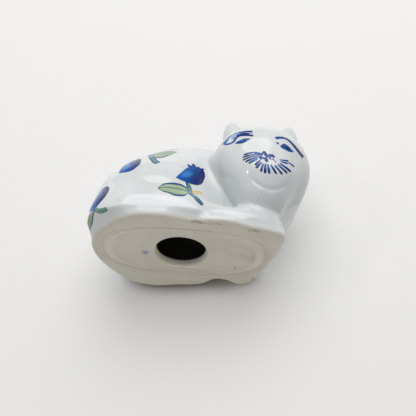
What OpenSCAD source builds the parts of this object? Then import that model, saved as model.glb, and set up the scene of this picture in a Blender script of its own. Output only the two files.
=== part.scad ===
// Hollow ceramic cat, lying with its head turned to its right side.
// +X runs from tail to chest, +Y is the cat's left, +Z is up, and z = 0 is the unglazed foot.

/* [Overall] */
// Length of the unglazed foot, tail end to chest end
foot_length = 96; // [82:1:115]
// Width of the unglazed foot across the haunches
foot_width = 68; // [58:1:80]
// Height of the back above the foot
back_height = 65; // [55:1:78]

/* [Casting] */
// Thickness of the cast wall of the body and the head
wall = 4; // [3:0.25:5]
// Height over which the flank swells out from the foot
foot_roll = 7; // [6:0.5:12]

/* [Base plate] */
// Length of the base plate let into the foot
plate_length = 80; // [68:1:84]
// Width of the base plate
plate_width = 41; // [32:1:44]
// Thickness of the base plate
plate_thickness = 3; // [2:0.25:4.5]
// How far the plate stands back from the foot
plate_recess = 0.6; // [0.3:0.1:1.2]
// Diameter of the round vent hole
vent_diameter = 25; // [20:0.5:29]
// Place of the vent hole along the foot
vent_x = -3.6; // [-12:0.2:6]
// Place of the vent hole across the foot
vent_y = 3; // [-2:0.2:6]

/* [Head] */
// Width of the head from cheek to cheek
head_width = 51.5; // [42:0.5:58]
// Depth of the head from face to nape
head_depth = 44; // [38:1:52]
// Height of the head from chin to crown
head_height = 47; // [42:1:54]
// Place of the head along the foot
head_x = 34.5; // [31:0.5:39]
// Place of the head across the foot, towards the side it looks to
head_y = -11; // [-14:0.5:-7]
// Height of the middle of the head
head_z = 45; // [42:0.5:51]
// Diameter of the vent between the head and the body
neck_vent_diameter = 10; // [7:0.5:13]

/* [Ears] */
// Height of an ear above its middle
ear_height = 14; // [11:0.5:17]
// Width of an ear at its foot
ear_width = 15; // [12:0.5:18]
// Thickness of an ear at its foot
ear_thickness = 9; // [7:0.5:11]
// Distance between the two ears, middle to middle
ear_spacing = 29; // [25:0.5:33]

/* [Tail and forelegs] */
// Length of the tail along the right flank
tail_length = 58; // [48:1:66]
// Thickness of the tail roll
tail_thickness = 28; // [25:0.5:31]
// Height of the tail roll
tail_height = 17; // [14:0.5:20]
// Length of a folded foreleg
foreleg_length = 42; // [36:1:46]
// Thickness of a foreleg roll
foreleg_thickness = 27; // [24:0.5:30]
// Height of a foreleg roll
foreleg_height = 17; // [14:0.5:20]

/* [Hidden] */

// Colours of the fired coats
glaze_white = [0.90, 0.91, 0.92];
bare_clay = [0.68, 0.65, 0.57];

// How finely the rolled clay is drawn
arc_steps = 3;
body_rings = 16;
plate_steps = 72;
round_steps = 36;
round_rings = 18;
small_steps = 24;
small_rings = 14;
search_steps = 15;
cut_margin = 1;

// Foot outline as shares of half its length and half its width, from the tail end towards the right flank.
foot_shape = [
  [-1.02, 0.00], [-0.96, -0.35], [-0.81, -0.66], [-0.58, -0.93], [-0.31, -0.99], [0.04, -0.90],
  [0.35, -0.96], [0.60, -0.84], [0.85, -0.75], [0.98, -0.62], [0.94, -0.21], [0.81, 0.38],
  [0.71, 0.71], [0.58, 0.81], [0.46, 0.71], [0.31, 0.71], [0.17, 0.88], [-0.12, 0.97],
  [-0.42, 1.03], [-0.65, 0.91], [-0.88, 0.56]
];
foot_centre = [0, foot_width * 0.06, 0];
panel_x = -2;
panel_y = -2;
panel_fullness = 2.6;
// The foot stands upright to a little above the base plate
foot_band = plate_recess + plate_thickness + 1.2;

// Solids of revolution-like clay: middle, half sizes, fullness, lean about Y and turn about Z
haunches = [[-0.183 * foot_length, 5, 0.27 * back_height],
            [0.348 * foot_length, 0.47 * foot_width, 0.52 * back_height], 2.1, -18, 0];
back = [[-0.004 * foot_length, 11, 0.49 * back_height],
        [0.323 * foot_length, 0.345 * foot_width, 0.54 * back_height], 2.3, -7, 0];
chest = [[0.41 * foot_length, 4, 0.41 * back_height],
         [0.125 * foot_length, 0.265 * foot_width, 0.32 * back_height], 2.2, 34, 0];
skull = [[head_x, head_y, head_z],
         [head_width / 2, head_depth / 2, head_height / 2], 2, 8, 0];
throat = [[head_x - 0.4, head_y - 4, head_z - 0.33 * head_height],
          [0.285 * head_width, 0.27 * head_depth, 0.29 * head_height], 2, 0, 0];
tail_roll = [[-0.21 * foot_length, -0.28 * foot_width + 2, 0.55 * tail_height],
             [tail_length / 2, tail_thickness / 2, tail_height / 2], 2.2, 0, -4];
right_leg_roll = [[0.27 * foot_length, -0.22 * foot_width + 2, 0.42 * foreleg_height],
                  [foreleg_length / 2, foreleg_thickness / 2, foreleg_height / 2], 2.3, 0, 6];
left_leg_roll = [[0.345 * foot_length, 0.13 * foot_width, 0.5 * foreleg_height],
                 [foreleg_length / 2, foreleg_thickness / 2, foreleg_height / 2], 2.3, 0, -66];
ear_lean = 14;
ear_foot_z = head_z + 0.49 * head_height;
ear_size = [ear_width / 2, ear_thickness / 2, ear_height];
right_ear_form = [[head_x - ear_spacing / 2, head_y + 6, ear_foot_z - 1], ear_size, 1.9, -ear_lean, 0];
left_ear_form = [[head_x + ear_spacing / 2, head_y + 6, ear_foot_z], ear_size, 1.9, ear_lean, 0];

// Softness of the joints between rolls of clay
back_blend = 12;
chest_blend = 8;
throat_blend = 5;

function clamp(v) = max(0, min(1, v));
function eased(v) = let (c = clamp(v)) c * c * (3 - 2 * c);
function blended(a, b, k) = let (h = clamp(0.5 + 0.5 * (b - a) / k)) b * (1 - h) + a * h - k * h * (1 - h);

// A point turned into a form's own axes
function unturned(p, lean, turn) =
  let (x = p.x * cos(turn) + p.y * sin(turn), y = -p.x * sin(turn) + p.y * cos(turn))
  [x * cos(lean) - p.z * sin(lean), y, x * sin(lean) + p.z * cos(lean)];

// About how far a point lies outside a rounded form, in mm
function outside(p, form) =
  let (q = unturned(p - form[0], form[3], form[4]), s = form[1], e = form[2])
  let (k = pow(pow(abs(q.x) / s.x, e) + pow(abs(q.y) / s.y, e) + pow(abs(q.z) / s.z, e), 1 / e))
  (k - 1) * 0.9 * min(s);

trunk_field = function (p)
  blended(blended(outside(p, haunches), outside(p, back), back_blend), outside(p, chest), chest_blend);
head_field = function (p) blended(outside(p, skull), outside(p, throat), throat_blend);
form_field = function (form) function (p) outside(p, form);

// Distance from o along d to where the field reaches a level, found by halving
function reach(field, o, d, level, near, far, steps) =
  let (mid = (near + far) / 2)
  steps == 0 ? mid
  : field(o + d * mid) < level ? reach(field, o, d, level, mid, far, steps - 1)
  : reach(field, o, d, level, near, mid, steps - 1);

// One point of a closed curve that runs smoothly through its corner points
function through(pts, i, u) =
  let (n = len(pts), a = pts[(i + n - 1) % n], b = pts[i], c = pts[(i + 1) % n], d = pts[(i + 2) % n])
  0.5 * (2 * b + (c - a) * u + (2 * a - 5 * b + 4 * c - d) * u * u + (3 * b - a - 3 * c + d) * u * u * u);

function foot_curve() = [
  for (i = [0 : len(foot_shape) - 1], s = [0 : arc_steps - 1])
    let (p = through(foot_shape, i, s / arc_steps))
    [p.x * foot_length / 2, p.y * foot_width / 2 + foot_centre.y, 0]
];
foot_line = foot_curve();
far_reach = foot_length + foot_width;

// A ring of body points at one rise above the foot, drawn out to the foot outline near the bottom
function body_ring(rise, level, line) = [
  for (f = line)
    let (flat = (f - foot_centre) / norm(f - foot_centre))
    let (low = foot_centre + flat * reach(trunk_field, foot_centre, flat, level, 0, far_reach, search_steps))
    let (d = flat * cos(rise) + [0, 0, sin(rise)])
    let (p = foot_centre + d * reach(trunk_field, foot_centre, d, level, 0, far_reach, search_steps))
    p + (f - low) * (1 - eased((p.z - foot_band) / foot_roll))
];

function inset_line(line, by) = [
  for (f = line) foot_centre + (f - foot_centre) * (1 - by / norm(f - foot_centre))
];

// The lowest ring hangs below the foot, to be cut off level
function body_points(level, line) = [
  for (f = line) f - [0, 0, cut_margin],
  for (r = [1 : body_rings - 1]) each body_ring(90 * pow(r / body_rings, 1.15), level, line),
  foot_centre + [0, 0, reach(trunk_field, foot_centre, [0, 0, 1], level, 0, far_reach, search_steps)]
];

// Faces of stacked rings with n points each, closed by a flat bottom and one top point
function dome_faces(rings, n) = [
  [for (k = [0 : n - 1]) k],
  for (r = [0 : rings - 2], k = [0 : n - 1])
    let (a = r * n + k, b = r * n + (k + 1) % n)
    each [[a, a + n, b], [b, a + n, b + n]],
  for (k = [0 : n - 1]) [(rings - 1) * n + k, rings * n, (rings - 1) * n + (k + 1) % n]
];

// Faces of stacked rings closed by one point below and one above
function ball_faces(rings, n) = [
  for (k = [0 : n - 1]) [0, 1 + k, 1 + (k + 1) % n],
  for (r = [0 : rings - 2], k = [0 : n - 1])
    let (a = 1 + r * n + k, b = 1 + r * n + (k + 1) % n)
    each [[a, a + n, b], [b, a + n, b + n]],
  for (k = [0 : n - 1]) [1 + (rings - 1) * n + k, 1 + rings * n, 1 + (rings - 1) * n + (k + 1) % n]
];

function ball_points(field, o, level, rings, n) = [
  o - [0, 0, reach(field, o, [0, 0, -1], level, 0, far_reach, search_steps)],
  for (r = [1 : rings], k = [0 : n - 1])
    let (rise = -90 + 180 * r / (rings + 1), a = 360 * k / n)
    let (d = [cos(a) * cos(rise), sin(a) * cos(rise), sin(rise)])
    o + d * reach(field, o, d, level, 0, far_reach, search_steps),
  o + [0, 0, reach(field, o, [0, 0, 1], level, 0, far_reach, search_steps)]
];

foot_count = len(foot_line);
trunk_points = body_points(0, foot_line);
cavity_points = body_points(-wall, inset_line(foot_line, wall));
skull_points = ball_points(head_field, skull[0], 0, round_rings, round_steps);

// The model is centred on its own box
tail_points = ball_points(form_field(tail_roll), tail_roll[0], 0, small_rings, small_steps);
right_leg_points = ball_points(form_field(right_leg_roll), right_leg_roll[0], 0, small_rings, small_steps);
left_leg_points = ball_points(form_field(left_leg_roll), left_leg_roll[0], 0, small_rings, small_steps);
all_points = concat(trunk_points, skull_points, tail_points, right_leg_points, left_leg_points);
box_x = [min([for (p = all_points) p.x]), max([for (p = all_points) p.x])];
box_y = [min([for (p = all_points) p.y]), max([for (p = all_points) p.y])];
to_centre = [-(box_x[0] + box_x[1]) / 2, -(box_y[0] + box_y[1]) / 2, 0];

module trunk_solid() polyhedron(trunk_points, dome_faces(body_rings, foot_count));
module head_solid() polyhedron(skull_points, ball_faces(round_rings, round_steps));
module roll_solid(points) polyhedron(points, ball_faces(small_rings, small_steps));

// Everything below a height, across the whole cat
module below(height) {
  span = 2 * far_reach;
  translate([-span / 2, -span / 2, -span])
    cube([span, span, span + height]);
}

// A full oval, fuller than an ellipse
module panel_shape() {
  polygon([
    for (k = [0 : plate_steps - 1])
      let (a = 360 * k / plate_steps, c = cos(a), s = sin(a))
      [foot_centre.x + panel_x + plate_length / 2 * sign(c) * pow(abs(c), 2 / panel_fullness),
       foot_centre.y + panel_y + plate_width / 2 * sign(s) * pow(abs(s), 2 / panel_fullness)]
  ]);
}

module cavity() {
  difference() {
    polyhedron(cavity_points, dome_faces(body_rings, foot_count));
    below(plate_recess + plate_thickness);
  }
}

// The vent that joins the hollow of the head to the hollow of the body
module neck_vent() {
  to_body = back[0] - skull[0];
  translate(skull[0])
    rotate([0, acos(to_body.z / norm(to_body)), atan2(to_body.y, to_body.x)])
      cylinder(d = neck_vent_diameter, h = norm(to_body), $fn = 48);
}

module body_shell() {
  color(glaze_white)
    translate(to_centre)
      difference() {
        trunk_solid();
        cavity();
        translate([0, 0, -2 * cut_margin])
          linear_extrude(plate_recess + plate_thickness + 2 * cut_margin)
            panel_shape();
        head_solid();
        neck_vent();
        below(0);
      }
}

module base_plate() {
  color(bare_clay)
    translate(to_centre)
      difference() {
        translate([0, 0, plate_recess])
          linear_extrude(plate_thickness)
            panel_shape();
        translate([vent_x, vent_y, plate_recess - cut_margin])
          cylinder(d = vent_diameter, h = plate_thickness + 2 * cut_margin, $fn = 96);
      }
}

module head_shell() {
  color(glaze_white)
    translate(to_centre)
      difference() {
        head_solid();
        polyhedron(ball_points(head_field, skull[0], -wall, small_rings, small_steps),
                   ball_faces(small_rings, small_steps));
        neck_vent();
      }
}

module ear(form) {
  color(glaze_white)
    translate(to_centre)
      difference() {
        roll_solid(ball_points(form_field(form), form[0], 0, small_rings, small_steps));
        head_solid();
      }
}

module right_ear() {
  ear(right_ear_form);
}

module left_ear() {
  ear(left_ear_form);
}

module tail() {
  color(glaze_white)
    translate(to_centre)
      difference() {
        roll_solid(tail_points);
        trunk_solid();
        below(0);
      }
}

module right_foreleg() {
  color(glaze_white)
    translate(to_centre)
      difference() {
        roll_solid(right_leg_points);
        trunk_solid();
        head_solid();
        neck_vent();
        below(0);
      }
}

module left_foreleg() {
  color(glaze_white)
    translate(to_centre)
      difference() {
        roll_solid(left_leg_points);
        trunk_solid();
        head_solid();
        roll_solid(right_leg_points);
        below(0);
      }
}

body_shell();
base_plate();
head_shell();
right_ear();
left_ear();
tail();
right_foreleg();
left_foreleg();
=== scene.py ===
import math
import bpy
import numpy as np
from mathutils import Matrix, Vector


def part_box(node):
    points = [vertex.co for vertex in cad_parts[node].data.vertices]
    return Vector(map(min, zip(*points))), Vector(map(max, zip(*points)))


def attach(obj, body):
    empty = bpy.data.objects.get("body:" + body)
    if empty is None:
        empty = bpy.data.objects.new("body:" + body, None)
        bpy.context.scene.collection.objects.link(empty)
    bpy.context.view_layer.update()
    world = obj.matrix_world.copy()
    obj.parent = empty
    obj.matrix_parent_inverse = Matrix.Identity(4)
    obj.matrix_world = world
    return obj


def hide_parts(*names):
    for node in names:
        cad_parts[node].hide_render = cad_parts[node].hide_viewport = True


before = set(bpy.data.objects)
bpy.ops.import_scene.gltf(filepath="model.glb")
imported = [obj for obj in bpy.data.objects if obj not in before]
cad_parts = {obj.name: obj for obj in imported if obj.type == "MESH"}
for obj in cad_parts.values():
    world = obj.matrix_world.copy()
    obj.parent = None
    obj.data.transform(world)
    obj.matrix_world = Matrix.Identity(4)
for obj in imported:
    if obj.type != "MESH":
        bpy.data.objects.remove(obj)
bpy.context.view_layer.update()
mm = 0.001


# Clay forms are in mm from the middle of the foot: x towards the chest, y to the cat's left, z up.
plateLow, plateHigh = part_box("base_plate")
plateMiddle = dict(x=-2.0, y=2.08)      # middle of the base plate, seen from the middle of the foot
footMiddle = np.array([
    (plateLow.x + plateHigh.x) / 2 / mm - plateMiddle["x"],
    (plateLow.y + plateHigh.y) / 2 / mm - plateMiddle["y"],
    0.0,
])

bodyClay = dict(
    haunches=dict(at=(-17.6, 5.6, 18), half=(33.4, 32.6, 34.6), full=2.1, lean=-18),
    back=dict(at=(-0.4, 11.5, 32.7), half=(31, 24, 36), full=2.3, lean=-7),
    chest=dict(at=(40, 4, 27), half=(12, 18, 21), full=2.2, lean=34),
    backBlend=12, chestBlend=8,
)
tailClay = dict(
    root=dict(at=(-32.5, -5.5, 8), half=(17.2, 18.5, 17), full=2.4, turn=-20),
    tip=dict(at=(-14, -15.5, 7), half=(26, 14.8, 13), full=2.4, turn=-2),
    between=7, blend=4, before=6, outside=-4,
)
legClay = dict(
    right=dict(at=(26, -12, 6), half=(21, 13.5, 9), full=2.3, turn=6),
    left=dict(at=(28.5, 6, 6), half=(21, 12, 8), full=2.3, turn=-66),
    between=3, blend=6, behind=6, split=-2,
)
headClay = dict(
    skull=dict(at=(34.5, -11, 45.4), half=(25.6, 22, 23.2), full=2.0, lean=8),
    jaw=dict(at=(34.8, -18, 27.8), half=(14.2, 12.3, 14.8), full=2.0),
    muzzle=dict(at=(36.5, -23.5, 34.5), half=(14.5, 10, 11), full=2.0),
    mouth=dict(at=(37.5, 20.6), reach=10.5, curve=0.06, width=1.2, depth=0.3, front=-17.0),
    jawBlend=5, muzzleBlend=4, neckBlend=6.0,
)
earClay = dict(
    right=dict(at=(21.3, -5, 66.5), half=(6.9, 5, 15.2), full=1.8, lean=-13),
    left=dict(at=(46.3, -5, 65.6), half=(7.3, 5, 15.4), full=1.8, lean=16),
    blend=3.0, above=56, proud=1.5, clear=0.5,
)
footClay = dict(
    # the unglazed foot's outline, from the tail end along the right flank
    outline=[
        (-49, 4), (-46, -8), (-39, -18.5), (-28, -27.5), (-15, -29.5), (2, -26.5), (17, -28.5),
        (29, -24.5), (41, -21.5), (47, -17), (45, -3), (39, 17), (34, 28), (28, 31.5), (22, 28),
        (15, 28), (8, 34), (-6, 37), (-20, 39), (-31, 35), (-42, 23),
    ],
    middle=(0, 4), roll=6.0, softEdge=3.0, wall=4.0, leftReach=40.0,
)
restWay = (-0.168, -0.986, 0.0)         # straight up from a table, when the cat lies on its left flank
plateClay = dict(
    half=(40.0, 20.5), full=2.6, recess=0.6, thick=3.0, gap=0.0, shoulder=2.4,
    ventAt=(-3.6, 3.0), ventRadius=12.5, lip=1.5,
    panel=0.82, ridge=0.45,             # the flat panel's share of the way out, and the ridge around it
    dishAt=(33.5, 3.0), dishHalf=(8, 7), dish=0.5, wave=0.10,
)
hollowClay = dict(overlap=0.5, neckFloor=1.0)   # the room reaches a little down into the plate's pocket
# painted shade in the creases, partly real glaze pooling: how far it reaches, and its strength on the head
# and on the body
glazeClay = dict(poolReach=4.5, poolHead=1.0, poolBody=0.35)
seamClay = dict(above=3.0, proud=1.0)   # a roll is its own piece above the foot, where it stands proud
# the net's cells: one level of them has to fall within the overlap, or clay closes between pocket and room
grain = dict(step=0.75, low=(-56, -42, -2.6), high=(64, 48, 88))


# Clay is kept as a distance: below zero inside, above zero outside, in mm.
def ease(t):
    t = np.clip(t, 0, 1)
    return t * t * (3 - 2 * t)


def meld(a, b, k):
    h = np.clip(0.5 + 0.5 * (b - a) / k, 0, 1)
    return b * (1 - h) + a * h - k * h * (1 - h)


def carve(a, b, k):
    return -meld(-a, b, k)              # a with b taken away


def roll(p, form):
    # about how far each point lies outside one rounded roll of clay, in mm
    x, y, z = (p[..., i] - form["at"][i] for i in range(3))
    turn, lean = (math.radians(form.get(k, 0)) for k in ("turn", "lean"))
    x, y = x * math.cos(turn) + y * math.sin(turn), y * math.cos(turn) - x * math.sin(turn)
    x, z = x * math.cos(lean) - z * math.sin(lean), x * math.sin(lean) + z * math.cos(lean)
    n, half = form["full"], form["half"]
    size = (np.abs(x / half[0]) ** n + np.abs(y / half[1]) ** n + np.abs(z / half[2]) ** n) ** (1 / n)
    return (size - 1) * 0.9 * min(half)


def footReach():
    # distance from the foot's middle to its outline, once round, by a smooth periodic curve
    pts = np.array(footClay["outline"], float) - footClay["middle"]
    angle = np.arctan2(pts[:, 1], pts[:, 0]) % (2 * math.pi)
    order = np.argsort(angle)
    angle, reach = angle[order], np.hypot(*pts[order].T)
    n = len(angle)
    prev, after = np.roll(angle, 1), np.roll(angle, -1)
    prev[0] -= 2 * math.pi
    after[-1] += 2 * math.pi
    slope = (np.roll(reach, -1) - np.roll(reach, 1)) / (after - prev)
    ring = np.linspace(0, 2 * math.pi, 721)
    i = (np.searchsorted(angle, ring % (2 * math.pi), side="right") - 1) % n
    j = (i + 1) % n
    span = (angle[j] - angle[i]) % (2 * math.pi)
    t = ((ring - angle[i]) % (2 * math.pi)) / span
    a, b = reach[i], reach[j]
    da, db = slope[i] * span, slope[j] * span
    curve = (2 * t**3 - 3 * t**2 + 1) * a + (t**3 - 2 * t**2 + t) * da
    return ring, curve + (3 * t**2 - 2 * t**3) * b + (t**3 - t**2) * db


footRing, footCurve = footReach()


def trunkField(p):
    both = meld(roll(p, bodyClay["haunches"]), roll(p, bodyClay["back"]), bodyClay["backBlend"])
    return meld(both, roll(p, bodyClay["chest"]), bodyClay["chestBlend"])


def tailField(p):
    return meld(roll(p, tailClay["root"]), roll(p, tailClay["tip"]), tailClay["between"])


def legsField(p):
    return meld(roll(p, legClay["right"]), roll(p, legClay["left"]), legClay["between"])


def skullField(p):
    face = meld(roll(p, headClay["skull"]), roll(p, headClay["jaw"]), headClay["jawBlend"])
    face = meld(face, roll(p, headClay["muzzle"]), headClay["muzzleBlend"])
    # the mouth: a shallow curved crease pressed into the chin
    mouth = headClay["mouth"]
    across = (p[..., 0] - mouth["at"][0]) / mouth["reach"]
    up = (p[..., 2] - mouth["at"][1] - mouth["curve"] * (across * mouth["reach"]) ** 2) / mouth["width"]
    front = ease((mouth["front"] - p[..., 1]) / 4)
    return face + mouth["depth"] * np.exp(-up * up) * ease(2.4 - 2.4 * np.abs(across)) * front


def earsField(p):
    return np.minimum(roll(p, earClay["right"]), roll(p, earClay["left"]))


def bodyField(p):
    clay = meld(trunkField(p), tailField(p), tailClay["blend"])
    clay = meld(clay, legsField(p), legClay["blend"])
    # the left flank is no fuller than the foot, so the cat can lie on it
    flank = -(p[..., 0] * restWay[0] + p[..., 1] * restWay[1]) - footClay["leftReach"]
    clay = carve(clay, -flank, footClay["softEdge"])
    x, y = p[..., 0] - footClay["middle"][0], p[..., 1] - footClay["middle"][1]
    reach = np.interp(np.arctan2(y, x) % (2 * math.pi), footRing, footCurve)
    share = ease(p[..., 2] / footClay["roll"])
    clay = (np.hypot(x, y) - reach) * (1 - share) + clay * share
    return carve(clay, p[..., 2], footClay["softEdge"])


def skinField(p):
    head = meld(skullField(p), earsField(p), earClay["blend"])
    return meld(bodyField(p), head, headClay["neckBlend"])


def plateField(p, grow=0.0):
    half, n = plateClay["half"], plateClay["full"]
    x = np.abs(p[..., 0] - plateMiddle["x"]) / (half[0] + grow)
    y = np.abs(p[..., 1] - plateMiddle["y"]) / (half[1] + grow)
    return ((x**n + y**n) ** (1 / n) - 1) * (half[1] + grow) * 0.9


def hollowField(p):
    top = plateClay["recess"] + plateClay["thick"]
    pocket = np.maximum(plateField(p, plateClay["gap"]), p[..., 2] - top)
    inside = np.maximum(trunkField(p) + footClay["wall"], bodyField(p) + footClay["wall"])
    room = np.maximum(inside, top - hollowClay["overlap"] - p[..., 2])
    room = np.maximum(room, hollowClay["neckFloor"] - skullField(p))
    return np.minimum(pocket, room)


def slopeOf(field, p, d=0.05):
    # which way, and how fast, a field rises at each point
    g = np.stack([
        field(p + np.array(s) * d) - field(p - np.array(s) * d)
        for s in ((1, 0, 0), (0, 1, 0), (0, 0, 1))
    ], -1)
    return g / (2 * d)


def settle(field, p, turns=4):
    # moves points onto the field's own surface
    for _ in range(turns):
        g = slopeOf(field, p)
        p = p - g * (field(p) / np.maximum((g * g).sum(-1), 0.05))[:, None]
    return p


def skinNet(field, low, high, step):
    # four-sided faces over the surface of a field, with one point in each cell that the surface crosses
    low = np.array(low, float)
    count = np.ceil((np.array(high) - low) / step).astype(int) + 1
    values = np.empty(count, np.float32)
    ys, zs = (low[i] + step * np.arange(count[i]) for i in (1, 2))
    sheet = np.stack(np.meshgrid([0.0], ys, zs, indexing="ij"), -1)
    for i in range(count[0]):
        sheet[..., 0] = low[0] + step * i
        values[i] = field(sheet)[0]
    solid = values < 0
    shape = tuple(count - 1)
    corners = np.zeros(shape, int)
    for a, b, c in np.ndindex(2, 2, 2):
        corners += solid[a:a + shape[0], b:b + shape[1], c:c + shape[2]]
    crossed = (corners > 0) & (corners < 8)
    cells = np.argwhere(crossed)
    number = -np.ones(shape, int)
    number[crossed] = np.arange(len(cells))
    total, hits = np.zeros((len(cells), 3)), np.zeros(len(cells))
    for axis in range(3):
        others = [k for k in range(3) if k != axis]
        for d in np.ndindex(2, 2):
            near = cells.copy()
            near[:, others] += d
            far = near.copy()
            far[:, axis] += 1
            a, b = values[tuple(near.T)], values[tuple(far.T)]
            cut = (a < 0) != (b < 0)
            place = near[cut].astype(float)
            place[:, axis] += a[cut] / (a[cut] - b[cut])
            total[cut] += place
            hits[cut] += 1
    points = total / hits[:, None] * step + low
    faces = []
    for axis in range(3):
        u, v = (axis + 1) % 3, (axis + 2) % 3
        one = [slice(None)] * 3
        two = [slice(None)] * 3
        one[axis], two[axis] = slice(0, -1), slice(1, None)
        edge = np.argwhere(solid[tuple(one)] != solid[tuple(two)])
        inner = solid[tuple(edge.T)]

        def cellAt(du, dv):
            q = edge.copy()
            q[:, u] -= du
            q[:, v] -= dv
            return number[tuple(q.T)]

        quad = np.stack([cellAt(1, 1), cellAt(0, 1), cellAt(0, 0), cellAt(1, 0)], 1)
        quad[~inner] = quad[~inner][:, ::-1]
        faces.append(quad)
    return points, np.concatenate(faces)


def place(points):
    return (np.asarray(points, float) + footMiddle) * mm


def addObject(name, data):
    obj = bpy.data.objects.new(name, data)
    bpy.context.scene.collection.objects.link(obj)
    return obj


def meshPiece(name, points, faces, normals=None, smooth=True, **marks):
    # points in mm; faces are arrays of three or four corners; marks are one value for each point
    mesh = bpy.data.meshes.new(name)
    mesh.vertices.add(len(points))
    mesh.vertices.foreach_set("co", place(points).astype(np.float32).ravel())
    sizes = np.concatenate([np.full(len(f), f.shape[1]) for f in faces])
    corners = np.concatenate([f.ravel() for f in faces])
    mesh.loops.add(len(corners))
    mesh.loops.foreach_set("vertex_index", corners.astype(np.int32))
    mesh.polygons.add(len(sizes))
    mesh.polygons.foreach_set("loop_start", (np.cumsum(sizes) - sizes).astype(np.int32))
    mesh.polygons.foreach_set("use_smooth", np.full(len(sizes), smooth))
    for key, value in marks.items():
        layer = mesh.attributes.new(key, "FLOAT", "POINT")
        layer.data.foreach_set("value", np.asarray(value, np.float32))
    mesh.update(calc_edges=True)
    mesh.validate()
    if normals is not None:
        mesh.normals_split_custom_set_from_vertices(normals.astype(np.float32))
    return addObject(name, mesh)


def largestPatch(faces, chosen, pointCount):
    # keeps only the largest joined group of the chosen faces
    picked = faces[chosen]
    label = np.arange(pointCount)
    while True:
        low = label[picked].min(1)
        after = label.copy()
        for k in range(picked.shape[1]):
            np.minimum.at(after, picked[:, k], low)
        after = after[after]
        if (after == label).all():
            break
        label = after
    group = label[picked[:, 0]]
    kinds, counts = np.unique(group, return_counts=True)
    keep = np.zeros(len(faces), bool)
    keep[np.flatnonzero(chosen)[group == kinds[counts.argmax()]]] = True
    return keep


def rimEdges(faces):
    # directed edges that only one face of the patch uses
    n = faces.shape[1]
    edges = np.concatenate([faces[:, [k, (k + 1) % n]] for k in range(n)])
    size = faces.max() + 1
    forward = edges[:, 0] * size + edges[:, 1]
    backward = edges[:, 1] * size + edges[:, 0]
    return edges[~np.isin(forward, backward)]


def closingCap(points, edges, field, rings=14):
    # spokes from each rim point to the middle, laid onto a field's surface, so that a patch is closed
    rim = np.unique(edges)
    middle = points[rim].mean(0)
    spokes = [points[rim] + (middle - points[rim]) * (k / rings) for k in range(1, rings)]
    inner = settle(field, np.concatenate(spokes + [middle[None]]), 6)
    index = -np.ones(len(points), int)
    index[rim] = np.arange(len(rim))
    start = len(points)
    a, b = index[edges[:, 0]], index[edges[:, 1]]
    quads = [np.stack([edges[:, 1], edges[:, 0], start + a, start + b], 1)]
    for k in range(rings - 2):
        here, there = start + k * len(rim), start + (k + 1) * len(rim)
        quads.append(np.stack([here + b, here + a, there + a, there + b], 1))
    last = start + (rings - 2) * len(rim)
    centre = np.full(len(edges), start + (rings - 1) * len(rim))
    return inner, np.concatenate(quads), np.stack([last + b, last + a, centre], 1)


def compact(points, groups, *values):
    # drops the points that no face uses
    used = np.unique(np.concatenate([g.ravel() for g in groups]))
    index = -np.ones(len(points), int)
    index[used] = np.arange(len(used))
    return [points[used], [index[g] for g in groups]] + [v[used] for v in values]


def wire(tree, source, target):
    tree.links.new(source, target)


def addNode(tree, kind, inputs=None, **settings):
    node = tree.nodes.new(kind)
    for key, value in settings.items():
        setattr(node, key, value)
    for key, value in (inputs or {}).items():
        socket = node.inputs[key]
        if isinstance(value, bpy.types.NodeSocket):
            wire(tree, value, socket)
        else:
            socket.default_value = value
    return node


def maths(tree, operation, a, b=0.0, clamp=False):
    node = addNode(tree, "ShaderNodeMath", {0: a, 1: b}, operation=operation, use_clamp=clamp)
    return node.outputs[0]


def plus(tree, a, b):
    return maths(tree, "ADD", a, b)


def minus(tree, a, b):
    return maths(tree, "SUBTRACT", a, b)


def times(tree, a, b):
    return maths(tree, "MULTIPLY", a, b)


def mixed(tree, share, a, b):
    node = addNode(tree, "ShaderNodeMix", data_type="RGBA")
    for socket, value in ((node.inputs[0], share), (node.inputs[6], a), (node.inputs[7], b)):
        if isinstance(value, bpy.types.NodeSocket):
            wire(tree, value, socket)
        else:
            socket.default_value = value
    return node.outputs[2]


def between(tree, value, low, high, outLow=0.0, outHigh=1.0, kind="SMOOTHSTEP"):
    node = addNode(tree, "ShaderNodeMapRange", {0: value, 1: low, 2: high, 3: outLow, 4: outHigh})
    node.interpolation_type = kind
    return node.outputs[0]


def noise(tree, where, scale, detail=3.0, rough=0.55):
    node = addNode(tree, "ShaderNodeTexNoise", {"Vector": where, "Scale": scale, "Detail": detail,
                                                "Roughness": rough})
    return node.outputs["Fac"]


def objectSpot(tree):
    return addNode(tree, "ShaderNodeTexCoord").outputs["Object"]


def pointMark(tree, key):
    return addNode(tree, "ShaderNodeAttribute", attribute_name=key).outputs["Fac"]


def addBump(tree, height, strength, shader):
    bump = addNode(tree, "ShaderNodeBump", {"Strength": strength, "Distance": clayLook["bumpHeight"],
                                            "Height": height})
    wire(tree, bump.outputs[0], shader.inputs["Normal"])


def groupTree(name, inputs, outputs):
    tree = bpy.data.node_groups.new(name, "ShaderNodeTree")
    for key, kind, value in inputs:
        socket = tree.interface.new_socket(key, in_out="INPUT", socket_type=kind)
        if value is not None:
            socket.default_value = value
    for key, kind in outputs:
        tree.interface.new_socket(key, in_out="OUTPUT", socket_type=kind)
    return tree, tree.nodes.new("NodeGroupInput"), tree.nodes.new("NodeGroupOutput")


def newMaterial(name):
    material = bpy.data.materials.new(name)
    material.use_nodes = True
    tree = material.node_tree
    return material, tree, tree.nodes["Principled BSDF"]


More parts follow.
